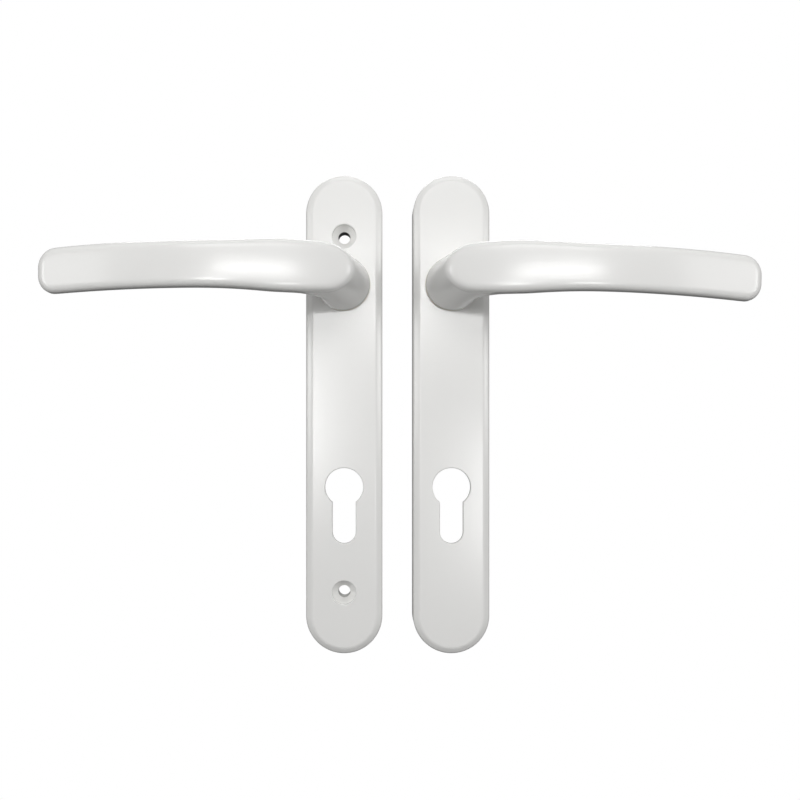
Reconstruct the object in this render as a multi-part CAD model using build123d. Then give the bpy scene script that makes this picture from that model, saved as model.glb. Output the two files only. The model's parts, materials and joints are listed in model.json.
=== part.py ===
"""A pair of lever door handles on long backplates with euro profile cut-outs.

The inside handle has the two through-screw holes, the outside one is plain in front and carries
threaded inserts behind. Each lever turns in a nylon bush and is centred by a torsion spring in a
housing behind the plate.

Frame: X to the right, +Z up, +Y into the door. The door face is y = 0 and both spindle axes lie
along Y at z = 0, so everything in front of the door has a negative y. Millimetres.
"""

import os
from math import atan2, cos, degrees, exp, pi, radians, sin

from build123d import *

# ---------------------------------------------------------------- driving dimensions
AXIS_SPACING = 48.8        # between the two spindle axes, as the pair lies side by side
SPINDLE_TO_CYLINDER = 92.0 # spindle axis down to the centre of the euro profile
SCREW_Z = (22.0, -140.0)   # the two through screws, above and below the spindle axis
SCREW_HOLE_R = 2.75

PLATE_LENGTH = 218.0
PLATE_WIDTH = 35.0
PLATE_THICK = 13.0
PLATE_TOP = 50.0           # the plate's top end above the spindle axis
PLATE_DRAFT = 0.6          # degrees
FRONT_WALL = 3.0
SIDE_WALL = 2.5
BEVEL_ON_FACE = 2.7
BEVEL_ON_SIDE = 1.5
BEVEL_ROUND = 1.1

EURO_ROUND_R = 8.65
EURO_SLOT_WIDTH = 10.5
EURO_HEIGHT = 34.3
RIB = 1.6
RIB_REAR_Y = -2.0
RIB_Z = (36.0, -34.0, -52.0, -70.0, -126.0, -154.0)

RECESS_R = 5.35            # the screw head's recess
RECESS_DEPTH = 2.4
CONE_DEPTH = 2.6
POST_R = 7.2
INSERT_R = 3.5             # M5 threaded insert
INSERT_LENGTH = 7.0
INSERT_SINK = 0.1          # below its post's rear face
INSERT_THREAD_R = 2.5

JOURNAL_R = 8.5
RUNNING_FIT = 0.05
BUSH_R = 10.0
BUSH_FLANGE_R = 12.0
BUSH_FLANGE = 0.8
HUB_TAIL_R = 7.5
HUB_FLATS = 13.0
SOCKET = 8.1               # for the 8 mm square spindle
HUB_FRONT_Y = -27.0
SOCKET_END_Y = -24.5
SHOULDER_Y = -8.9          # where the journal gives way to the flatted tail
HUB_REAR_Y = -0.45
LEVER_GAP = 0.1            # between the lever's base and the bush flange

HOUSING_R = 14.0
HOUSING_WALL = 1.2
HOUSING_FLOOR = 0.8
HOUSING_REAR_Y = -1.6
WINDOW_START_Y = -4.2      # the stop window in the cup's wall is open from here to the rear
EAR_THICK = 2.2
LOWER_EAR_Z = -20.5
LOWER_EAR_REAR_Y = -2.6
LOWER_EAR_THICK = 2.0
LOWER_EAR_R = 3.8
UPPER_EAR_R = 6.2
SLEEVE_R = 4.0             # the housing's tube that lines the upper screw hole
SLEEVE_END_Y = -7.6
PILOT_R = 1.1

HOUSING_SCREW_LENGTH = 6.0
HOUSING_SCREW_HEAD_R = 2.9
HOUSING_SCREW_HEAD = 1.4

SPRING_WIRE = 1.4
SPRING_R = 10.3
SPRING_TURNS = 2.5
SPRING_START_Y = -8.45
SPRING_PITCH = 1.44
SPRING_LEG_OUT = 3.0
SPRING_LEG_BACK = 2.0

CAM_FRONT_Y = -3.9
CAM_THICK = 1.6
CAM_R = 12.2
LOBE_R = 13.7
LOBE_HALF_ANGLE = 14.0
TURN_LIMIT = 45.0
STOP_SPARE = 2.2           # degrees left at each end of the travel
WASHER_R = (7.8, 10.0)
WASHER_THICK = 0.35
CLIP_Y = -1.95             # front face of the circlip
CLIP_THICK = 1.0
GROOVE_R = 6.9

OUTSIDE_DROOP = 1.5        # degrees; the outside lever hangs a little within its spring's free play

# The grip, seen from above: u runs outward from the spindle axis, w forward from the plate's face.
FRONT_APEX = 45.5          # the bowed front surface's highest point above the plate's face
APEX_U = 65.0
BOW_R = 237.0
TIP_U = 127.0
TIP_ROUND = 7.8            # corner radius of the tip in elevation
GRIP_DEPTH = 11.3
GRIP_TAPER = 1.8           # less depth at the tip
GRIP_HALF = 9.65           # half the grip's height
GRIP_FLARE = 3.4
GRIP_FLARE_LENGTH = 20.0
GRIP_ARCH = 5.4
GRIP_ARCH_Z = 2.5
GRIP_ARCH_U = 40.0
GRIP_POWER = 2.9           # squareness of the grip's rounded section
RING_POINTS = 20
NECK_BASE_R = 12.2
NECK_FILLET_R = 17.0
NECK_FILLET_CENTRE = (29.5, 13.5)
NECK_FILLET_TOP = 30.5

DOOR_PLANE = Plane.XZ      # local x is X, local y is Z, extrusions run out of the door
FACE_Y = -PLATE_THICK
BASE_W = BUSH_FLANGE + LEVER_GAP
PLATE_CENTRE_Z = PLATE_TOP - PLATE_LENGTH / 2
CAVITY_Y = FACE_Y + FRONT_WALL


# ---------------------------------------------------------------- small helpers
def prism(sketch, y_front, y_rear):
    """A sketch drawn in X and Z, made solid between two depths."""
    plane = Plane(origin=(0, y_rear, 0), x_dir=(1, 0, 0), z_dir=(0, -1, 0))
    return extrude(plane * sketch, amount=y_rear - y_front)


def disc(radius, y_front, y_rear, z=0.0):
    return prism(Pos(0, z) * Circle(radius), y_front, y_rear)


def cone(r_front, r_rear, y_front, y_rear, z):
    """A round frustum along Y."""
    upright = Cone(r_rear, r_front, y_rear - y_front)
    return Pos(0, (y_front + y_rear) / 2, z) * Rot(90, 0, 0) * upright


def sector(radius, half_angle):
    """A pie slice about the origin that opens to the right."""
    reach = radius * 3
    corner = (reach * cos(radians(half_angle)), reach * sin(radians(half_angle)))
    wedge = make_face(Polyline((0, 0), (corner[0], -corner[1]), corner, close=True))
    return Circle(radius) & wedge


# ---------------------------------------------------------------- backplates
def plate_outline():
    return Pos(0, PLATE_CENTRE_Z) * SlotOverall(PLATE_LENGTH, PLATE_WIDTH, rotation=90)


def euro_profile():
    """The keyhole of a euro profile cylinder: a round barrel above a round-ended slot."""
    slot_r = EURO_SLOT_WIDTH / 2
    foot = EURO_ROUND_R - EURO_HEIGHT + slot_r
    barrel = Circle(EURO_ROUND_R)
    leg = Pos(0, foot / 2) * Rectangle(EURO_SLOT_WIDTH, -foot)
    end = Pos(0, foot) * Circle(slot_r)
    return Pos(0, -SPINDLE_TO_CYLINDER) * (barrel + leg + end)


def plate_shell():
    """The hollow casting with its bevelled front edge, before holes and posts."""
    solid = extrude(DOOR_PLANE * plate_outline(), amount=PLATE_THICK, taper=PLATE_DRAFT)
    front = solid.faces().sort_by(Axis.Y)[0]
    solid = chamfer(front.edges(), length=BEVEL_ON_FACE, length2=BEVEL_ON_SIDE, reference=front)
    rim_y = FACE_Y + BEVEL_ON_SIDE
    outer = [e for e in solid.edges() if abs(e.bounding_box().min.Y - rim_y) < 0.05
             and abs(e.bounding_box().max.Y - rim_y) < 0.05]
    solid = fillet(outer, BEVEL_ROUND)
    hollow = offset(plate_outline(), -SIDE_WALL)
    return solid - prism(hollow, CAVITY_Y, 0.0)


def common_plate():
    """What both castings share: ribs, the housing screw's post, the keyhole and the bush's hole."""
    body = plate_shell()
    cross_rib = Rectangle(PLATE_WIDTH - 2 * SIDE_WALL + 1, RIB)
    for z in RIB_Z:
        body += prism(Pos(0, z) * cross_rib, CAVITY_Y, RIB_REAR_Y)
    body += disc(LOWER_EAR_R, CAVITY_Y, LOWER_EAR_REAR_Y - LOWER_EAR_THICK, z=LOWER_EAR_Z)
    body -= prism(euro_profile(), FACE_Y - 1, 1.0)
    body -= disc(BUSH_R, FACE_Y - 1, CAVITY_Y + 1)
    return body - disc(PILOT_R, CAVITY_Y + 1, 0.0, z=LOWER_EAR_Z)


def screw_posts():
    """The upper post stops short of the door face by the housing ear that lies on it."""
    upper, lower = SCREW_Z
    return ((upper, -EAR_THICK), (lower, 0.0))


def inside_plate():
    """Recessed and countersunk for the two through screws."""
    body = common_plate()
    recess_floor = FACE_Y + RECESS_DEPTH
    for z, rear in screw_posts():
        body += disc(POST_R, CAVITY_Y, rear, z=z)
        body -= disc(RECESS_R, FACE_Y - 1, recess_floor, z=z)
        body -= cone(RECESS_R, SCREW_HOLE_R, recess_floor, recess_floor + CONE_DEPTH, z)
        body -= disc(SCREW_HOLE_R, recess_floor, 1.0, z=z)
    return body - disc(SLEEVE_R, SLEEVE_END_Y, 1.0, z=SCREW_Z[0])


def outside_plate():
    """Plain in front, with a blind hole for a threaded insert in each post."""
    body = common_plate()
    for z, rear in screw_posts():
        body += disc(POST_R, CAVITY_Y, rear, z=z)
        body -= disc(INSERT_R, rear - INSERT_SINK - INSERT_LENGTH, 1.0, z=z)
    return body


def threaded_insert(z, post_rear):
    rear = post_rear - INSERT_SINK
    return disc(INSERT_R, rear - INSERT_LENGTH, rear, z=z) - disc(INSERT_THREAD_R, FACE_Y, 1.0, z=z)


# ---------------------------------------------------------------- levers
def front_w(u):
    """Height of the bowed front surface above the plate's face."""
    return FRONT_APEX - (u - APEX_U) ** 2 / (2 * BOW_R)


def ring(outer, inner, top, bottom, power):
    """A closed superellipse through an outer and an inner point of the lever's side view."""
    centre = Vector((outer[0] + inner[0]) / 2, (outer[1] + inner[1]) / 2)
    half = Vector((inner[0] - outer[0]) / 2, (inner[1] - outer[1]) / 2)
    points = []
    for k in range(RING_POINTS):
        a = 2 * pi * k / RING_POINTS
        c, s = cos(a), sin(a)
        across = abs(c) ** (2 / power) * (1 if c >= 0 else -1)
        up = abs(s) ** (2 / power) * (1 if s >= 0 else -1)
        middle, reach = (top + bottom) / 2, (top - bottom) / 2
        u = centre.X + half.X * across
        w = centre.Y + half.Y * across
        points.append((u, FACE_Y - w, middle + reach * up))
    even = [k / RING_POINTS for k in range(RING_POINTS + 1)]
    return make_face(Edge.make_spline(points, periodic=True, parameters=even))


def grip_middle(u):
    """Height of the grip's centreline, which arches gently along its length."""
    return GRIP_ARCH_Z - GRIP_ARCH * ((u - GRIP_ARCH_U) / TIP_U) ** 2


def grip_half(u):
    """Half the grip's height: broad at the neck, then nearly constant."""
    return GRIP_HALF + GRIP_FLARE * exp(-u / GRIP_FLARE_LENGTH)


def across_bow(u, depth, centre_w):
    """The outer and inner point of a section that stands square to the bow."""
    slope = atan2(APEX_U - u, BOW_R)
    du, dw = depth / 2 * sin(slope), depth / 2 * cos(slope)
    return (u - du, centre_w + dw), (u + du, centre_w - dw)


def grip_ring(u, depth, power=GRIP_POWER):
    outer, inner = across_bow(u, depth, front_w(u) - depth / 2)
    return ring(outer, inner, grip_middle(u) + grip_half(u), grip_middle(u) - grip_half(u), power)


def turning_ring(outer, inner, power):
    """A section of the neck or of its bend into the grip, as high as the grip is further out."""
    u = max(inner[0] - 3, 0)
    share = min(1.0, (inner[1] - BASE_W) / (NECK_FILLET_TOP - BASE_W)) ** 2
    middle = share * grip_middle(u)
    half = NECK_BASE_R + share * (grip_half(u) - NECK_BASE_R)
    return ring(outer, inner, middle + half, middle - half, power)


def fillet_point(angle):
    """A point on the arc inside the bend, from the neck's side (0) to the grip's back (90)."""
    u, w = NECK_FILLET_CENTRE
    return u - NECK_FILLET_R * cos(radians(angle)), w + NECK_FILLET_R * sin(radians(angle))


def lever_sections():
    """Neck rings, then the rings that turn the corner, then the grip out to its tip."""
    base = NECK_BASE_R
    sections = [ring((-base, BASE_W), (base, BASE_W), base, -base, 2.0),
                turning_ring((-11.3, 8.0), (12.4, 7.5), 2.0)]
    bend = ((0, -10.3, 15.0), (20, -8.9, 22.4), (40, -6.8, 29.2), (55, -4.2, 33.4), (68, 0.2, 36.4))
    for angle, u, w in bend:
        sections.append(turning_ring((u, w), fillet_point(angle), 2.0 + angle / 110))
    sections.append(turning_ring((8.5, front_w(8.5)), fillet_point(79), 2.7))
    sections.append(turning_ring((20.0, front_w(20.0)), (31.0, front_w(31.0) - 12.1), 2.8))
    sections.append(turning_ring((33.0, front_w(33.0)), (38.0, front_w(38.0) - 11.6), GRIP_POWER))
    last_full = TIP_U - TIP_ROUND
    steps = 8
    for k in range(steps + 1):
        u = 45 + (last_full - 45) * k / steps
        sections.append(grip_ring(u, GRIP_DEPTH - GRIP_TAPER * (u - 45) / (last_full - 45)))
    depth = GRIP_DEPTH - GRIP_TAPER
    for from_tip in (4.6, 2.2, 0.8, 0.15):
        inset = TIP_ROUND - from_tip
        drop = TIP_ROUND - (TIP_ROUND ** 2 - inset ** 2) ** 0.5
        u = TIP_U - from_tip
        thin = depth * (1 - (drop / TIP_ROUND) ** 2 * 0.8)
        outer, inner = across_bow(u, thin, front_w(u) - depth / 2)
        middle, half = grip_middle(last_full), grip_half(last_full) - drop
        sections.append(ring(outer, inner, middle + half, middle - half, GRIP_POWER - 0.3))
    return sections


def lever_casting():
    """The lever that points to the right, bored for its hub."""
    return loft(lever_sections()) - disc(JOURNAL_R, HUB_FRONT_Y, 0.0)


def hub():
    """The steel hub pressed into the neck: journal, flatted tail, clip groove and square socket."""
    tail = Circle(HUB_TAIL_R) & Rectangle(HUB_FLATS, 2 * HUB_TAIL_R)
    body = disc(JOURNAL_R, HUB_FRONT_Y, SHOULDER_Y) + prism(tail, SHOULDER_Y, HUB_REAR_Y)
    groove = disc(HUB_TAIL_R + 1, CLIP_Y, CLIP_Y + CLIP_THICK) - disc(GROOVE_R, CLIP_Y, CLIP_Y + CLIP_THICK)
    body -= groove
    return body - prism(Rectangle(SOCKET, SOCKET), SOCKET_END_Y, 1.0)


# ---------------------------------------------------------------- bearing, spring and its housing
def bush():
    body = disc(BUSH_FLANGE_R, FACE_Y - BUSH_FLANGE, FACE_Y) + disc(BUSH_R, FACE_Y, CAVITY_Y)
    return body - disc(JOURNAL_R + RUNNING_FIT, FACE_Y - 2, 0.0)


def spring_housing(with_sleeve):
    """A nylon cup behind the plate, with an ear over each of its two screws."""
    upper = SCREW_Z[0]
    inner_r = HOUSING_R - HOUSING_WALL
    web_start = inner_r + 0.2
    body = disc(HOUSING_R, CAVITY_Y, HOUSING_REAR_Y) - disc(inner_r, CAVITY_Y + HOUSING_FLOOR, 0.0)
    ear = Pos(0, upper) * Circle(UPPER_EAR_R)
    ear += Pos(0, (upper + web_start) / 2) * Rectangle(9.0, upper - web_start)
    body += prism(ear, -EAR_THICK, 0.0)
    foot = Pos(0, LOWER_EAR_Z) * Circle(LOWER_EAR_R)
    foot += Pos(0, (LOWER_EAR_Z - web_start) / 2) * Rectangle(2 * LOWER_EAR_R, -web_start - LOWER_EAR_Z)
    body += prism(foot, LOWER_EAR_REAR_Y - LOWER_EAR_THICK, LOWER_EAR_REAR_Y)
    if with_sleeve:
        body += disc(SLEEVE_R, SLEEVE_END_Y, 0.0, z=upper)
    body -= disc(SCREW_HOLE_R, SLEEVE_END_Y - 1, 1.0, z=upper)
    body -= disc(PILOT_R + 0.3, CAVITY_Y, 1.0, z=LOWER_EAR_Z)
    body -= disc(JOURNAL_R + 0.5, CAVITY_Y - 1, 0.0)
    window = sector(HOUSING_R + 1, TURN_LIMIT + LOBE_HALF_ANGLE + STOP_SPARE) - Circle(inner_r - 0.5)
    body -= prism(window, WINDOW_START_Y, 0.0)
    notch = Pos(-HOUSING_R, 0) * Rectangle(6, SPRING_WIRE + 0.4)
    return body - prism(notch, CAVITY_Y + HOUSING_FLOOR, SPRING_START_Y + 0.9)


def return_spring(wound=0.0):
    """Coil with one leg out through the cup's notch and one back into the driver plate."""
    rise = (SPRING_TURNS + wound / 360) * SPRING_PITCH
    path = Helix(SPRING_PITCH, rise, SPRING_R, center=(0, SPRING_START_Y, 0), direction=(0, 1, 0))
    coil = sweep(Plane(origin=path @ 0, z_dir=path % 0) * Circle(SPRING_WIRE / 2), path=path)
    fixed_end, moving_end = path @ 0, path @ 1
    outward = Vector(fixed_end.X, 0, fixed_end.Z).normalized()
    legs = ((fixed_end, outward, SPRING_LEG_OUT), (moving_end, Vector(0, 1, 0), SPRING_LEG_BACK))
    for end, direction, length in legs:
        leg = extrude(Plane(origin=end, z_dir=direction) * Circle(SPRING_WIRE / 2), amount=length)
        coil += leg + Pos(end) * Sphere(SPRING_WIRE / 2)
    turn = degrees(atan2(fixed_end.Z, fixed_end.X))
    return Rot(0, turn - 180, 0) * coil


def driver_plate():
    """The steel plate on the hub's flats, with the stop lobe and the hole for the spring's leg."""
    outline = Circle(CAM_R) + sector(LOBE_R, LOBE_HALF_ANGLE)
    flats = Circle(HUB_TAIL_R + RUNNING_FIT) & Rectangle(HUB_FLATS + 2 * RUNNING_FIT, 40)
    outline -= flats + Pos(SPRING_R, 0) * Circle(SPRING_WIRE / 2 + 0.1)
    return prism(outline, CAM_FRONT_Y, CAM_FRONT_Y + CAM_THICK)


def wave_washer():
    front = CAM_FRONT_Y + CAM_THICK
    inner, outer = WASHER_R
    return prism(Circle(outer) - Circle(inner), front, front + WASHER_THICK)


def circlip():
    """An open ring in the hub's groove, with a plier hole in each end."""
    band = Circle(9.2) - Circle(GROOVE_R + 0.05) - Pos(0, -9) * Rectangle(4.4, 10)
    for x in (-3.4, 3.4):
        band += Pos(x, -8.9) * Circle(1.5)
        band -= Pos(x, -8.9) * Circle(0.7)
    return prism(band, CLIP_Y, CLIP_Y + CLIP_THICK)


def housing_screw():
    head = disc(HOUSING_SCREW_HEAD_R, LOWER_EAR_REAR_Y, LOWER_EAR_REAR_Y + HOUSING_SCREW_HEAD, z=LOWER_EAR_Z)
    shank = disc(PILOT_R, LOWER_EAR_REAR_Y - HOUSING_SCREW_LENGTH, LOWER_EAR_REAR_Y, z=LOWER_EAR_Z)
    drive = Rectangle(0.7, 3.2) + Rectangle(3.2, 0.7)
    recess = prism(Pos(0, LOWER_EAR_Z) * drive, LOWER_EAR_REAR_Y + HOUSING_SCREW_HEAD - 0.9, 0.0)
    return head + shank - recess


# ---------------------------------------------------------------- the two handles
def mirrored(shape):
    return mirror(shape, about=Plane.YZ)


def main():
    """The inside handle's working parts are the outside one's mirror images."""
    os.makedirs("parts", exist_ok=True)
    turning = {"lever": lever_casting(), "spindle_hub": hub(), "driver_plate": driver_plate(),
               "wave_washer": wave_washer(), "circlip": circlip()}
    droop = Rot(0, OUTSIDE_DROOP, 0)
    inside = {name: mirrored(shape) for name, shape in turning.items()}
    outside = {name: droop * shape for name, shape in turning.items()}
    inside |= {"backplate": inside_plate(), "lever_bush": bush(), "housing_screw": housing_screw(),
               "spring_housing": mirrored(spring_housing(True)), "return_spring": mirrored(return_spring())}
    outside |= {"backplate": outside_plate(), "lever_bush": bush(), "housing_screw": housing_screw(),
                "spring_housing": spring_housing(False), "return_spring": return_spring(OUTSIDE_DROOP)}
    for place, (z, post_rear) in zip(("upper", "lower"), screw_posts()):
        outside[f"threaded_insert_{place}"] = threaded_insert(z, post_rear)
    for side, x, handle in (("inside", -AXIS_SPACING / 2, inside), ("outside", AXIS_SPACING / 2, outside)):
        for name, shape in handle.items():
            export_step(Pos(x, 0, 0) * shape, f"parts/{side}_{name}.step")
            print(side, name, round(shape.volume, 1))


main()
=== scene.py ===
# %% [markdown]
# # A pair of white lever door handles
# Two handles for the two faces of one door: each is a long cast backplate with a keyhole for a
# euro profile cylinder and a bowed lever that turns in it. The engineering model holds the places,
# joints and sizes. This lesson adds the looks around that fixed frame, and shapes the levers a
# little more closely than the engineering model does.

# %% Load the fixed frame
import json
import math

import bpy
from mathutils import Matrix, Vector


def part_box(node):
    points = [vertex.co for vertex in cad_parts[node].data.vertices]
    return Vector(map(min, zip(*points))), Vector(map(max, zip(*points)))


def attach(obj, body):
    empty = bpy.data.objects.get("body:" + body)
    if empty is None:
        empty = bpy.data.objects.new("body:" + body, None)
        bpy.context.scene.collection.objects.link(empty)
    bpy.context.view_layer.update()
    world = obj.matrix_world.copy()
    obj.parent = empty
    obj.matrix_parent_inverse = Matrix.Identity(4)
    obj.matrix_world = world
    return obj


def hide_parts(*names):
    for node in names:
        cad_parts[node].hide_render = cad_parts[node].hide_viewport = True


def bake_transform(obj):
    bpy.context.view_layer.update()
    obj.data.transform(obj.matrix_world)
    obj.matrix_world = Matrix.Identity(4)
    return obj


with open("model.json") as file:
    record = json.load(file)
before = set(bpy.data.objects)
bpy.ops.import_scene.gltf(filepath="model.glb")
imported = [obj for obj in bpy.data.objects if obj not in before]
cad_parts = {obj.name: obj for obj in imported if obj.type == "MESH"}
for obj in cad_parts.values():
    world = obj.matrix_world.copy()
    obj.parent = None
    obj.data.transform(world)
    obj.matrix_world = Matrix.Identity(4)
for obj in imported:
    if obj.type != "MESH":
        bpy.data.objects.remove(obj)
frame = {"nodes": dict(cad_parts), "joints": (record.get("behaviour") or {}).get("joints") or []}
bpy.context.view_layer.update()
bpy.ops.object.select_all(action="DESELECT")
nodes = frame["nodes"]

# %% [markdown]
# The two spindle axes come from the joints, and the plates' faces and ends come from the boxes
# of their nodes.

# %% Read the places that everything hangs on
MM = 0.001
spindle = {j["name"].split("_")[0]: Vector(j["pos_m"]) for j in frame["joints"]}
outward = {"inside": -1, "outside": 1}
plate_low, plate_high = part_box("inside_backplate")
face_y = plate_low.y
print("spindles at", {s: round(p.x / MM, 1) for s, p in spindle.items()}, "face at", face_y / MM)

# %% [markdown]
# ## Finishes
# A small helper builds each material from named nodes, so that every finish reads as a short
# recipe: colour with a little drift, roughness with a little drift, and a fine surface relief.

# %% Helpers for finishes
def new_finish(name):
    """An empty material with a Principled surface, and its node tools."""
    material = bpy.data.materials.new(name)
    material.use_nodes = True
    tree = material.node_tree
    return material, tree, tree.nodes["Principled BSDF"]


def noise(tree, scale, detail=3.0, rough=0.5):
    """Noise on the piece's own coordinates, so that the pattern moves with the piece."""
    place = tree.nodes.new("ShaderNodeTexCoord")
    node = tree.nodes.new("ShaderNodeTexNoise")
    node.inputs["Scale"].default_value = scale
    node.inputs["Detail"].default_value = detail
    node.inputs["Roughness"].default_value = rough
    tree.links.new(place.outputs["Object"], node.inputs["Vector"])
    return node.outputs["Fac"]


def between(tree, fac, low, high):
    """Maps a 0 to 1 pattern onto a range."""
    node = tree.nodes.new("ShaderNodeMapRange")
    node.inputs["To Min"].default_value = low
    node.inputs["To Max"].default_value = high
    tree.links.new(fac, node.inputs["Value"])
    return node.outputs["Result"]


def tint(tree, fac, dark, light):
    """A colour that drifts between two near shades."""
    node = tree.nodes.new("ShaderNodeValToRGB")
    node.color_ramp.elements[0].color = (*dark, 1)
    node.color_ramp.elements[1].color = (*light, 1)
    tree.links.new(fac, node.inputs["Fac"])
    return node.outputs["Color"]


def relief(tree, shader, fac, height, strength=1.0, below=None):
    """Surface relief of a given height in metres, stacked on another one if asked."""
    node = tree.nodes.new("ShaderNodeBump")
    node.inputs["Distance"].default_value = height
    node.inputs["Strength"].default_value = strength
    tree.links.new(fac, node.inputs["Height"])
    if below is not None:
        tree.links.new(below, node.inputs["Normal"])
    tree.links.new(node.outputs["Normal"], shader.inputs["Normal"])
    return node.outputs["Normal"]


# %% White powder coat
def powder_coat():
    material, tree, shader = new_finish("white_powder_coat")
    drift = noise(tree, 35.0)
    colour = tint(tree, drift, (0.858, 0.855, 0.838), (0.875, 0.871, 0.853))
    tree.links.new(colour, shader.inputs["Base Color"])
    tree.links.new(between(tree, noise(tree, 120.0), 0.20, 0.23), shader.inputs["Roughness"])
    peel = relief(tree, shader, noise(tree, 700.0, 1.0), 0.000007)
    relief(tree, shader, noise(tree, 4500.0, 2.0), 0.000001, below=peel)
    shader.inputs["Coat Weight"].default_value = 0.2
    shader.inputs["Coat Roughness"].default_value = 0.16
    return material


white = powder_coat()

# %% [markdown]
# Zinc plate is bright but cloudy, so its roughness drifts in patches of a few millimetres. Drawn
# spring steel is darker and carries a thin film of oil.

# %% Plated steel and spring steel
def steel(name, dark, light, rough_low, rough_high, patch, film=0.0):
    material, tree, shader = new_finish(name)
    colour = tint(tree, noise(tree, patch, 4.0), dark, light)
    tree.links.new(colour, shader.inputs["Base Color"])
    rough = between(tree, noise(tree, patch * 2.2, 5.0, 0.6), rough_low, rough_high)
    tree.links.new(rough, shader.inputs["Roughness"])
    relief(tree, shader, noise(tree, 5200.0, 2.0), 0.000004)
    shader.inputs["Metallic"].default_value = 1.0
    shader.inputs["Coat Weight"].default_value = film
    shader.inputs["Coat Roughness"].default_value = 0.2
    return material


plated = steel("plated_steel", (0.56, 0.57, 0.57), (0.66, 0.67, 0.68), 0.24, 0.42, 260.0)
spring_steel = steel("spring_steel", (0.24, 0.24, 0.25), (0.33, 0.33, 0.34), 0.32, 0.48, 420.0, 0.3)


# %% Nylon
def nylon(name, dark, light, rough_low, rough_high, grain, glow=0.0):
    """Moulded nylon: matt, with a fine mould grain; the uncoloured kind glows a little."""
    material, tree, shader = new_finish(name)
    colour = tint(tree, noise(tree, 90.0), dark, light)
    tree.links.new(colour, shader.inputs["Base Color"])
    rough = between(tree, noise(tree, 300.0), rough_low, rough_high)
    tree.links.new(rough, shader.inputs["Roughness"])
    relief(tree, shader, noise(tree, grain, 2.0), 0.00001)
    shader.inputs["Subsurface Weight"].default_value = glow
    shader.inputs["Subsurface Scale"].default_value = 0.001
    return material


pale_nylon = nylon("natural_nylon", (0.76, 0.74, 0.66), (0.81, 0.79, 0.72), 0.40, 0.52, 1800.0, 0.2)
black_nylon = nylon("black_nylon", (0.028, 0.028, 0.03), (0.042, 0.042, 0.045), 0.46, 0.62, 2400.0)

# %% Give every node its finish
FINISHES = {"backplate": white, "lever": white, "spindle_hub": plated, "driver_plate": plated,
            "housing_screw": plated, "threaded_insert_upper": plated,
            "threaded_insert_lower": plated, "return_spring": spring_steel,
            "wave_washer": spring_steel, "circlip": spring_steel, "lever_bush": pale_nylon,
            "spring_housing": black_nylon}
for name, node in nodes.items():
    finish = FINISHES[name.split("_", 1)[1]]
    node.data.materials.clear()
    node.data.materials.append(finish)
print(len(nodes), "nodes have", len(set(FINISHES.values())), "finishes")

# %% [markdown]
# ## Small modelling helpers
# Operators act on whatever is selected, so every step first deselects everything and then picks
# the vertices, edges or faces it needs by where they are.

# %% Helpers for modelling
def pick(piece, test, kind="VERT"):
    """Edit mode on one piece with only the elements chosen whose centre passes the test."""
    bpy.ops.object.mode_set(mode="EDIT")
    bpy.ops.mesh.select_mode(type=kind)
    bpy.ops.mesh.select_all(action="DESELECT")
    bpy.ops.object.mode_set(mode="OBJECT")
    mesh = piece.data
    at = [v.co for v in mesh.vertices]
    if kind == "VERT":
        for v in mesh.vertices:
            v.select = bool(test(v.co))
    if kind == "EDGE":
        for e in mesh.edges:
            e.select = bool(test((at[e.vertices[0]] + at[e.vertices[1]]) / 2))
    if kind == "FACE":
        for f in mesh.polygons:
            f.select = bool(test(f.center))
    bpy.ops.object.mode_set(mode="EDIT")


def finish_piece(piece, name, material, body, slot, *replaced):
    """Names a finished mesh, gives it its finish and lets it ride on its body."""
    bpy.ops.object.mode_set(mode="OBJECT")
    piece.name = name
    piece.data.materials.clear()
    piece.data.materials.append(material)
    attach(piece, body)
    if replaced:
        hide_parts(*replaced)
    print(name, len(piece.data.polygons), "faces")
    return piece


# %% [markdown]
# ## The levers
# Each lever is one zinc casting: a conical neck rises from the plate, turns through
# a large inner fillet and runs out as a bowed bar with softly rounded edges. It could be lofted
# from sections or carved from a block. Here a grid is rolled into a tube, and every ring of it is
# laid on one section of the solid that the next cell describes, because that keeps the tight
# edge round the grip's near end and still gives clean quads all the way.
#
# The sizes are in millimetres: u runs outward from the spindle, w forward from the plate's face.

# %% The lever's driving sizes
lever_low, lever_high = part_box("inside_lever")
APEX_W = (face_y - lever_low.y) / MM
BASE_W = (face_y - lever_high.y) / MM
TIP_U = (spindle["inside"].x - lever_low.x) / MM
APEX_U, BOW_R = 65.0, 237.0
NECK_R, NECK_TOP_W = 12.2, 33.0
END_CENTRE, END_LENGTH = 6.5, 11.8
EDGE_FRONT, EDGE_BACK = 2.8, 5.2
CROWN_R = 150.0
PIVOT_U, PIVOT_W, FILLET_R = 29.5, 13.5, 17.0
TIP_CORNER = 7.8
GRIP_DEPTH, GRIP_TAPER, TAPER_U = 11.3, 1.8, 45
ROOT_DEEPER, ROOT_LENGTH = 1.04, 15.5
ARCH_TOP, ARCH_DROP, ARCH_U = 2.75, 5.7, 42
GRIP_HALF, SWELL, SWELL_U, SWELL_LENGTH = 9.6, 1.4, 22, 20
NECK_TURN = 0.45
print("lever: tip", round(TIP_U, 1), "apex", round(APEX_W, 1), "base", round(BASE_W, 1))


# %% The lever as a solid
def front_w(u):
    """The bowed front surface."""
    return APEX_W - (u - APEX_U) ** 2 / (2 * BOW_R)


def depth(u):
    """From front to back: deepest where it leaves the neck, thinner towards the tip."""
    if u < TAPER_U:
        return GRIP_DEPTH + ROOT_DEEPER * ((TAPER_U - u) / ROOT_LENGTH) ** 2
    return GRIP_DEPTH - GRIP_TAPER * (u - TAPER_U) / (TIP_U - TIP_CORNER - TAPER_U)


def middle(u):
    """Height of the grip's centreline."""
    return ARCH_TOP - ARCH_DROP * ((u - ARCH_U) / TIP_U) ** 2


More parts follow.
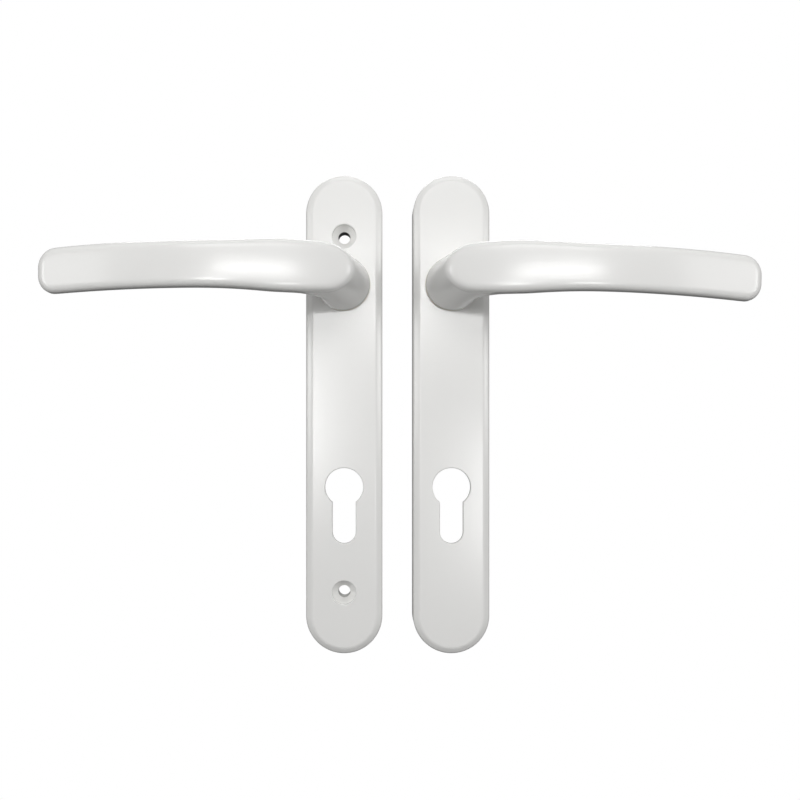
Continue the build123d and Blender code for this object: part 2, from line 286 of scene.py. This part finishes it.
def grip_half(u):
    """Half the grip's height, a little broader over the neck."""
    return GRIP_HALF + SWELL * math.exp(-((u - SWELL_U) / SWELL_LENGTH) ** 2)


def quarter(radius, e):
    """How far a rounded edge has drawn in, e below the surface it rounds into."""
    return radius - math.sqrt(max(radius ** 2 - (radius - e) ** 2, 0)) if e < radius else 0.0


def reach(u, w):
    """Middle height and half height of the solid at one place, or a negative half outside it."""
    t = min(max((w - BASE_W) / (NECK_TOP_W - BASE_W), 0), 1)
    half = NECK_R * (1 - t) + grip_half(u) * t
    below_front = front_w(u) - w
    if below_front < 0:
        return middle(u) * t, -1.0
    crown = (half - EDGE_FRONT) ** 2 / (2 * CROWN_R)
    inset = quarter(EDGE_FRONT, max(below_front - crown, 0))
    centre, length = END_CENTRE * t, NECK_R + (END_LENGTH - NECK_R) * t - inset
    outer = half - inset
    if u < centre:
        outer *= math.sqrt(max(1 - ((centre - u) / length) ** 2, 0)) if centre - u < length else 0
        if centre - u > length:
            return middle(u) * t, -1.0
    if u > TIP_U - TIP_CORNER:
        along = u - (TIP_U - TIP_CORNER)
        corner = TIP_CORNER - inset
        if along > corner:
            return middle(u) * t, -1.0
        outer = half - TIP_CORNER + math.sqrt(corner ** 2 - along ** 2)
    if w <= PIVOT_W:
        inside_back = NECK_R + 0.3 * w / PIVOT_W - u
        turn = NECK_TURN * (w - BASE_W) / (PIVOT_W - BASE_W)
    elif u < PIVOT_U:
        inside_back = math.hypot(PIVOT_U - u, w - PIVOT_W) - FILLET_R
        swept = math.atan2(w - PIVOT_W, PIVOT_U - u) / (math.pi / 2)
        turn = NECK_TURN + (1 - NECK_TURN) * swept
    else:
        inside_back, turn = w - (front_w(u) - depth(u)), 1.0
    if inside_back < 0:
        return middle(u) * t, -1.0
    along = NECK_R + (EDGE_BACK - NECK_R) * turn
    upright = half + (EDGE_BACK - half) * turn
    inner = half
    if inside_back < along:
        inner = half - upright * (1 - math.sqrt(1 - ((along - inside_back) / along) ** 2))
    return middle(u) * t, min(outer, inner, math.sqrt(2 * CROWN_R * below_front))


def solid_has(u, w, z):
    mid, half = reach(u, w)
    return half >= 0 and abs(z - mid) <= half


# %% [markdown]
# A ring is the outline of the solid in one plane. From the plane's centre a ray goes out at each
# angle, and halving finds where it leaves the solid. The planes lie parallel to the door up the
# neck, fan out about the fillet's centre round the bend, and stand square to the bow along the
# grip. They crowd together where the surface turns fast.

# %% The lever's rings
RING = 64


def last_inside(test, reach_to):
    """The longest step for which the test still holds."""
    low, high = 0.0, reach_to
    for _ in range(22):
        half = (low + high) / 2
        low, high = (half, high) if test(half) else (low, half)
    return low


def section(start, direction, span):
    """Ring of (u, w, z) in the plane that holds Z and runs from a start point along a direction."""
    def at(s):
        return start[0] + direction[0] * s, start[1] + direction[1] * s

    def within(s):
        return solid_has(*at(s), reach(*at(s))[0])
    first = next(0.02 * k for k in range(4000) if within(0.02 * k))
    length = last_inside(lambda s: within(first + s), span)
    centre = first + length / 2
    mid = reach(*at(centre))[0]
    ring = []
    for k in range(RING):
        c, s = math.cos(2 * math.pi * k / RING), math.sin(2 * math.pi * k / RING)
        r = last_inside(lambda r: solid_has(*at(centre + r * c), mid + r * s), 40)
        ring.append((*at(centre + r * c), mid + r * s))
    return ring


def lever_rings():
    """All sections from the neck's base to the tip."""
    rings = [section((NECK_R + 1, w), (-1, 0), 40) for w in (BASE_W + 0.01, 4.0, 7.5, 10.5)]
    for angle in (0.5, 8, 15, 21, 26, 29, 31, 32.5, 34, 35.5, 37, 39, 42, 46, 52, 60, 68, 76, 84):
        a = math.radians(angle)
        rings.append(section((PIVOT_U - 16 * math.cos(a), PIVOT_W + 16 * math.sin(a)),
                             (-math.cos(a), math.sin(a)), 40))
    full = TIP_U - TIP_CORNER
    outward_u = [PIVOT_U, 34, 39] + [45 + (full - 45) * k / 11 for k in range(12)]
    outward_u += [TIP_U - e for e in (6.2, 4.7, 3.4, 2.3, 1.4, 0.7, 0.25, 0.06)]
    for u in outward_u:
        rings.append(section((u, front_w(u) - depth(u) - 1), (0, 1), 30))
    return rings


rings = lever_rings()
print("lever:", len(rings), "rings of", RING)


# %% Roll a grid into the lever
DROOP = {"inside": 0.0, "outside": math.radians(1.5)}
BORE_R, BORE_DEPTH = 8.5 * MM, 13.0 * MM
NEAR = 0.1 * MM
NECK_REACH = 14.0 * MM


def lever_mesh(side):
    """The lever in its place, bored in its base for the steel hub."""
    out, axis = outward[side], spindle[side]
    bpy.ops.object.select_all(action="DESELECT")
    bpy.ops.mesh.primitive_grid_add(x_subdivisions=RING, y_subdivisions=len(rings) - 1, size=1.0)
    piece = bpy.context.object
    for v in piece.data.vertices:
        i = round((v.co.x + 0.5) * RING) % RING
        j = round((v.co.y + 0.5) * (len(rings) - 1))
        u, w, z = rings[j][i]
        v.co = (axis.x + out * u * MM, face_y - w * MM, z * MM)
    bpy.ops.object.mode_set(mode="EDIT")
    bpy.ops.mesh.select_all(action="SELECT")
    bpy.ops.mesh.remove_doubles(threshold=1e-7)
    base_y = face_y - BASE_W * MM
    pick(piece, lambda p: p.y > base_y - NEAR and abs(p.x - axis.x) < NECK_REACH)
    centre = (axis.x, base_y, 0)
    for size in (BORE_R / (NECK_R * MM), 1.0):
        bpy.ops.mesh.extrude_edges_move()
        bpy.ops.transform.resize(value=(size, 1, size), center_override=centre)
    bpy.ops.transform.translate(value=(0, -BORE_DEPTH, 0))
    bpy.ops.mesh.edge_face_add()
    tip_x = axis.x + out * (TIP_U * MM - NEAR)
    pick(piece, lambda p: (p.x - tip_x) * out > 0)
    bpy.ops.mesh.edge_face_add()
    bpy.ops.mesh.poke()
    bpy.ops.mesh.select_all(action="SELECT")
    bpy.ops.mesh.normals_make_consistent(inside=False)
    if DROOP[side]:
        bpy.ops.transform.rotate(value=-DROOP[side], orient_axis="Y", center_override=(axis.x, 0, 0))
    bpy.ops.object.mode_set(mode="OBJECT")
    bpy.ops.object.modifier_add(type="SUBSURF")
    piece.modifiers[0].levels = piece.modifiers[0].render_levels = 1
    bpy.ops.object.modifier_apply(modifier=piece.modifiers[0].name)
    bpy.ops.object.shade_smooth_by_angle(angle=math.radians(50))
    return piece


for side in outward:
    finish_piece(lever_mesh(side), f"{side}_cast_lever", white, f"{side}_lever_body",
                 "white_powder_coat", f"{side}_lever")

# %% [markdown]
# ## The backplates
# A backplate is a thin-walled zinc casting, open behind. It could be bent from sheet, but the
# bevelled front and the posts inside show that it is cast. It starts as a filled circle whose
# lower half slides down to make the long round-ended outline. Insets with a depth then raise the
# side wall, with the slight draft that lets a casting leave its mould, and the bevel.

# %% Stepped blocks
FINE = 96


def stepped(x, y, z, radius, steps, foot_z=None, vertices=FINE):
    """A closed round block along Y. Each step is (drawn in by, forward by), in metres."""
    bpy.ops.object.select_all(action="DESELECT")
    bpy.ops.mesh.primitive_circle_add(vertices=vertices, radius=radius, fill_type="NGON",
                                      location=(x, y, z), rotation=(math.pi / 2, math.pi / vertices, 0))
    bpy.ops.object.transform_apply(location=True, rotation=True, scale=True)
    piece = bpy.context.object
    if foot_z is not None:
        pick(piece, lambda p: p.z < z)
        bpy.ops.transform.translate(value=(0, 0, foot_z - z))
    pick(piece, lambda p: True, "FACE")
    for drawn_in, forward in steps:
        bpy.ops.mesh.inset(thickness=drawn_in, depth=forward)
    bpy.ops.mesh.select_mode(type="EDGE")
    bpy.ops.mesh.select_all(action="DESELECT")
    bpy.ops.mesh.select_non_manifold()
    bpy.ops.mesh.edge_face_add()
    bpy.ops.mesh.select_all(action="SELECT")
    bpy.ops.mesh.normals_make_consistent(inside=False)
    bpy.ops.object.mode_set(mode="OBJECT")
    return piece


def combine(piece, tool, operation):
    """One boolean step, applied at once; the tool is used up."""
    bpy.ops.object.select_all(action="DESELECT")
    bpy.context.view_layer.objects.active = piece
    piece.select_set(True)
    bpy.ops.object.modifier_add(type="BOOLEAN")
    step = piece.modifiers[-1]
    step.operation, step.object, step.solver = operation, tool, "EXACT"
    bpy.ops.object.modifier_apply(modifier=step.name)
    bpy.data.objects.remove(tool)


# %% [markdown]
# The two creases of the bevel get a small rounding of their own, because a powder coat never
# lies on a knife edge, and these roundings are what draws the thin bright line round the face.

# %% The plate's shell
PLATE_R = (plate_high.x - plate_low.x) / 2
PLATE_DEPTH = plate_high.y - plate_low.y
TOP_Z, FOOT_Z = plate_high.z - PLATE_R, plate_low.z + PLATE_R
BEVEL_IN, BEVEL_UP = 2.7 * MM, 1.5 * MM
DRAFT = 0.12 * MM
SIDE_WALL, FRONT_WALL = 2.5 * MM, 3.0 * MM
PROUD = 0.5 * MM
cavity_y = face_y + FRONT_WALL


def plate_shell(x):
    """The hollow casting before anything is cut in it or stands in it."""
    shell = stepped(x, 0, TOP_Z, PLATE_R, [(DRAFT, PLATE_DEPTH - BEVEL_UP), (BEVEL_IN, BEVEL_UP)], FOOT_Z)
    for y, offset in ((face_y + BEVEL_UP, 0.9 * MM), (face_y, 0.7 * MM)):
        pick(shell, lambda p: abs(p.y - y) < 1e-6, "EDGE")
        bpy.ops.mesh.bevel(offset=offset, segments=4)
        bpy.ops.object.mode_set(mode="OBJECT")
    hollow = stepped(x, PROUD, TOP_Z, PLATE_R - SIDE_WALL, [(0, PROUD - cavity_y)], FOOT_Z)
    combine(shell, hollow, "DIFFERENCE")
    return shell


# %% [markdown]
# Behind the face, thin ribs stiffen the casting and round posts carry the screws. They are added
# first, so that the holes can then be cut through face and post together.

# %% Ribs and posts
RIB = 1.6 * MM
RIB_REAR_Y = -2.0 * MM
RIB_Z = (36, -34, -52, -70, -126, -154)
KEY_Z, KEY_FOOT_Z = -92 * MM, -112.4 * MM
KEY_R, KEY_SLOT_R = 8.65 * MM, 5.25 * MM
SCREW_POSTS = ((22 * MM, -2.2 * MM), (-140 * MM, 0.0))
POST_R = 7.2 * MM
FOOT_POST = (-20.5 * MM, 3.8 * MM, -4.6 * MM)


def add_inside(shell, x):
    """Everything that stands up from the back of the face."""
    start = cavity_y - PROUD
    for z in RIB_Z:
        bpy.ops.mesh.primitive_cube_add(size=1, location=(x, (start + RIB_REAR_Y) / 2, z * MM))
        rib = bpy.context.object
        rib.scale = (2 * (PLATE_R - SIDE_WALL / 2), RIB_REAR_Y - start, RIB)
        bpy.ops.object.transform_apply(location=True, rotation=True, scale=True)
        combine(shell, rib, "UNION")
    posts = [(z, POST_R, rear) for z, rear in SCREW_POSTS] + [FOOT_POST]
    for z, radius, rear in posts:
        combine(shell, stepped(x, start, z, radius, [(0, start - rear)]), "UNION")


# %% [markdown]
# Each cutter is a stepped block too. Where a hole opens in the face, its cutter is flared a
# little, which breaks the edge as the casting's own small radius does.

# %% Holes
BREAK = 0.35 * MM
BUSH_R = 10.0 * MM
RECESS_R, RECESS_DEPTH, CONE_DEPTH = 5.35 * MM, 2.4 * MM, 2.6 * MM
SCREW_R, SLEEVE_R, SLEEVE_Y = 2.75 * MM, 4.0 * MM, -7.6 * MM
INSERT_R, INSERT_LENGTH = 3.5 * MM, 7.1 * MM
PILOT_R, PILOT_DEPTH = 1.1 * MM, 9.0 * MM


def mouth(radius):
    """A cutter's size in front of the face, and the steps that bring it down to its hole."""
    return radius + BREAK + PROUD, [(BREAK + PROUD, -BREAK - PROUD)]


def cut_holes(shell, side, x):
    front = face_y - PROUD
    through = PLATE_DEPTH + 2 * PROUD
    for radius, foot in ((KEY_R, None), (KEY_SLOT_R, KEY_FOOT_Z)):
        wide, steps = mouth(radius)
        combine(shell, stepped(x, front, KEY_Z, wide, steps + [(0, -through)], foot), "DIFFERENCE")
    combine(shell, stepped(x, front, 0, BUSH_R, [(0, -through)]), "DIFFERENCE")
    foot_z = FOOT_POST[0]
    pilot = stepped(x, PROUD, foot_z, PILOT_R, [(0, PILOT_DEPTH + PROUD)], vertices=24)
    combine(shell, pilot, "DIFFERENCE")
    for z, rear in SCREW_POSTS:
        if side == "inside":
            wide, steps = mouth(RECESS_R)
            steps += [(0, BREAK - RECESS_DEPTH), (RECESS_R - SCREW_R, -CONE_DEPTH), (0, -through)]
            combine(shell, stepped(x, front, z, wide, steps), "DIFFERENCE")
        else:
            pocket = stepped(x, PROUD, z, INSERT_R, [(0, PROUD + INSERT_LENGTH - rear)])
            combine(shell, pocket, "DIFFERENCE")
    if side == "inside":
        sleeve = stepped(x, PROUD, SCREW_POSTS[0][0], SLEEVE_R, [(0, PROUD - SLEEVE_Y)])
        combine(shell, sleeve, "DIFFERENCE")


def backplate(side):
    x = spindle[side].x
    shell = plate_shell(x)
    add_inside(shell, x)
    cut_holes(shell, side, x)
    bpy.ops.object.shade_smooth_by_angle(angle=math.radians(35))
    bpy.ops.object.modifier_add(type="WEIGHTED_NORMAL")
    shell.modifiers[-1].keep_sharp = True
    bpy.ops.object.modifier_apply(modifier=shell.modifiers[-1].name)
    return shell


for side in outward:
    finish_piece(backplate(side), f"{side}_cast_backplate", white, "backplates",
                 "white_powder_coat", f"{side}_backplate")

# %% [markdown]
# ## The return springs
# A torsion spring sits round each hub: one leg hooks out through a notch in its housing, the
# other reaches back into the driver plate. A screw modifier could wind the coil, but a curve
# with a round bevel also makes the two bent legs, all in one piece.

# %% Return springs
WIRE_R, COIL_R, TURNS, PITCH = 0.7, 10.3, 2.5, 1.44
COIL_START_Y = -8.45
LEG_OUT, LEG_BACK, BEND = 3.0, 2.0, 0.9
COIL_POINTS = 120


def rounded(before, corner, after):
    """Points of a soft bend that stands in for one corner."""
    a = corner + (before - corner).normalized() * BEND
    b = corner + (after - corner).normalized() * BEND
    return [a.lerp(corner, t).lerp(corner.lerp(b, t), t) for t in (0, 0.2, 0.4, 0.6, 0.8, 1)]


def spring_path(out, wound):
    """Centreline in millimetres about the spindle, from the fixed leg's end to the moving one's."""
    coil = []
    for k in range(COIL_POINTS + 1):
        turned = (2 * math.pi * TURNS + wound) * k / COIL_POINTS
        along = COIL_START_Y + PITCH * turned / (2 * math.pi)
        coil.append(Vector((-out * COIL_R * math.cos(turned), along, COIL_R * math.sin(turned))))
    fixed = coil[0] - Vector((out * LEG_OUT, 0, 0))
    moving = coil[-1] + Vector((0, LEG_BACK, 0))
    return ([fixed] + rounded(fixed, coil[0], coil[2]) + coil[3:-3]
            + rounded(coil[-3], coil[-1], moving) + [moving])


def spring_mesh(side, out):
    """The wire swept along its path, in its place round the spindle."""
    points = spring_path(out, DROOP[side])
    bpy.ops.object.select_all(action="DESELECT")
    bpy.ops.curve.primitive_nurbs_path_add(location=(0, 0, 0))
    piece = bpy.context.object
    piece.data.splines.clear()
    line = piece.data.splines.new("POLY")
    line.points.add(len(points) - 1)
    for at, p in zip(line.points, points):
        at.co = (*(p * MM + Vector((spindle[side].x, 0, 0))), 1)
    piece.data.bevel_depth = WIRE_R * MM
    piece.data.bevel_resolution = 4
    piece.data.use_fill_caps = True
    bpy.ops.object.convert(target="MESH")
    bpy.ops.object.shade_smooth_by_angle(angle=math.radians(50))
    return piece


for side, out in outward.items():
    piece = spring_mesh(side, out)
    piece.name = f"{side}_wound_spring"
    piece.data.materials.clear()
    piece.data.materials.append(spring_steel)
    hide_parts(f"{side}_return_spring")
    x = spindle[side].x
    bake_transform(piece)
    print(piece.name, len(piece.data.polygons), "faces")

# %% [markdown]
# ## Camera
# The camera stands straight in front of the pair, a little to the left of the middle. A small
# lens shift centres the whole pair in the frame without tilting any upright line.

# %% Camera
bpy.ops.object.camera_add(location=(-0.011, -0.473, -0.0656), rotation=(math.pi / 2, 0, 0))
camera = bpy.context.object
camera.data.sensor_width = 36.0
camera.data.lens = 45.6
camera.data.shift_x, camera.data.shift_y = 0.033, 0.0362
camera.data.clip_start = 0.01
bpy.context.scene.camera = camera
print("camera", [round(c, 4) for c in camera.location])

# %% [markdown]
# ## Light
# A low, wide soft box in front makes the bright band along the levers. A higher one draws the
# soft shadows under the necks, one at each side catches the bevels and the levers' ends, and two
# dim strips give the plates' faces their sheen. A box behind lights the inside of the castings.
# The world is white where the camera looks straight at it, but what it sends onto the object
# falls off from top to bottom and from front to back, as in a room with a bright ceiling.

# %% World
world = bpy.data.worlds.new("studio")
bpy.context.scene.world = world
world.use_nodes = True
sky = world.node_tree
background = sky.nodes["Background"]
place = sky.nodes.new("ShaderNodeTexCoord")
split = sky.nodes.new("ShaderNodeSeparateXYZ")
sky.links.new(place.outputs["Generated"], split.inputs["Vector"])


def fade(axis, low, high, dim, bright):
    """A strength that changes with the direction's component along one axis."""
    node = sky.nodes.new("ShaderNodeMapRange")
    for socket, value in (("From Min", low), ("From Max", high), ("To Min", dim), ("To Max", bright)):
        node.inputs[socket].default_value = value
    sky.links.new(split.outputs[axis], node.inputs["Value"])
    return node.outputs["Result"]


upward = fade("Z", -0.7, 0.8, 0.18, 0.61)
forward = fade("Y", -1.0, 0.4, 1.0, 0.40)
both = sky.nodes.new("ShaderNodeMath")
both.operation = "MULTIPLY"
sky.links.new(upward, both.inputs[0])
sky.links.new(forward, both.inputs[1])
path = sky.nodes.new("ShaderNodeLightPath")
choose = sky.nodes.new("ShaderNodeMix")
sky.links.new(path.outputs["Is Camera Ray"], choose.inputs["Factor"])
sky.links.new(both.outputs["Value"], choose.inputs["A"])
choose.inputs["B"].default_value = 1.0
sky.links.new(choose.outputs["Result"], background.inputs["Strength"])
background.inputs["Color"].default_value = (1, 1, 1, 1)
bpy.context.scene.view_settings.view_transform = "Standard"


# %% Soft boxes
def soft_box(name, place, aim, size, watts):
    """An area light that faces a point."""
    direction = Vector(aim) - Vector(place)
    bpy.ops.object.light_add(type="AREA", location=place)
    lamp = bpy.context.object
    lamp.name = name
    lamp.rotation_euler = direction.to_track_quat("-Z", "Y").to_euler()
    lamp.data.shape = "RECTANGLE"
    lamp.data.size, lamp.data.size_y = size
    lamp.data.energy = watts
    return lamp


key = soft_box("key", (0.046, -0.82, 0.10), (0, 0, 0), (0.32, 0.04), 0.95)
soft_box("high", (0, -0.85, 0.40), (0, 0, -0.02), (0.50, 0.26), 1.45)
for way in (-1, 1):
    soft_box("side", (way * 0.74, -0.40, 0.05), (way * 0.02, 0, 0), (0.16, 0.28), 0.75)
    soft_box("side", (way * 0.50, -0.48, 0.05), (way * 0.08, 0, 0), (0.24, 0.2), 0.34)
for x, z in ((-0.12, -0.06), (0.16, -0.15)):
    strip = soft_box("strip", (x, -0.82, z), (x, 0, z), (0.07, 0.16), 0.6)
    strip.visible_diffuse = False
soft_box("top", (0, -0.27, 0.80), (0, 0, 0), (0.6, 0.15), 0.6)
soft_box("rear", (0, 0.7, 0.8), (0, 0, -0.06), (0.9, 0.4), 4.5)
print("key light at", [round(c, 2) for c in key.location])
